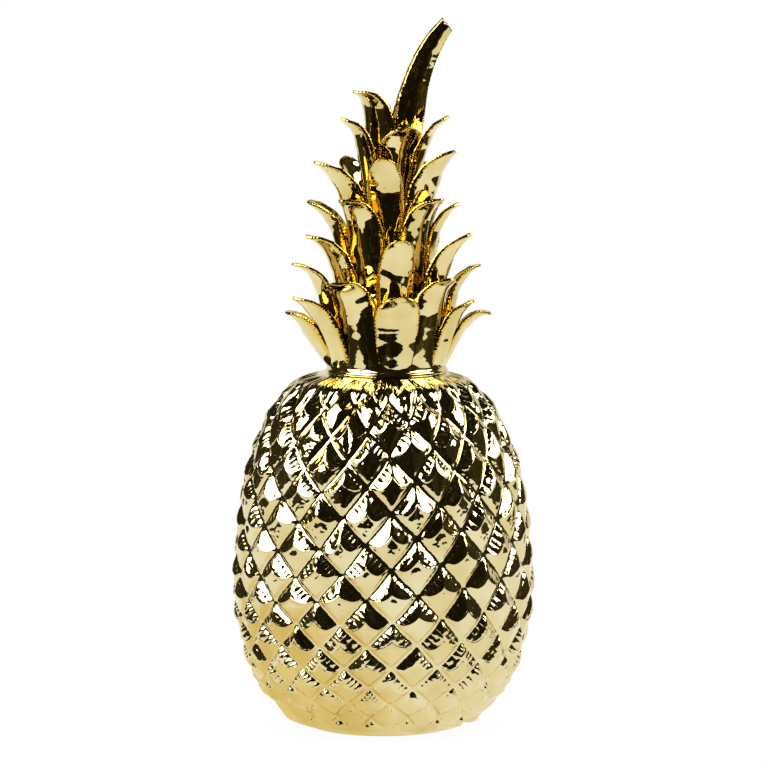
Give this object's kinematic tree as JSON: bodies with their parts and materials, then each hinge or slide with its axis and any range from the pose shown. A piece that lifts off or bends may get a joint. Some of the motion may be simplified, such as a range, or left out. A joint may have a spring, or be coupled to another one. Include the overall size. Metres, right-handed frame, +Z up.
{
  "type": "decorative pineapple jar",
  "caption": "Lidded porcelain jar in the shape of a pineapple, with a hollow fruit covered in diamond eyes and a lift-off crown of curling leaves.",
  "frame": {"origin": "centre of the foot, on the surface that the jar stands on", "axes": "+Z up along the fruit's axis to the crown, -Y the front that the picture shows, +X to the right seen from the front"},
  "size_m": [0.2003, 0.2004, 0.4678],
  "materials": {
    "fruit_lustre": "polished",
    "crown_lustre": "polished"
  },
  "bodies": {
    "root": {"fruit_jar": "fruit_lustre", "crown_lid": "crown_lustre"}
  },
  "joints": []
}
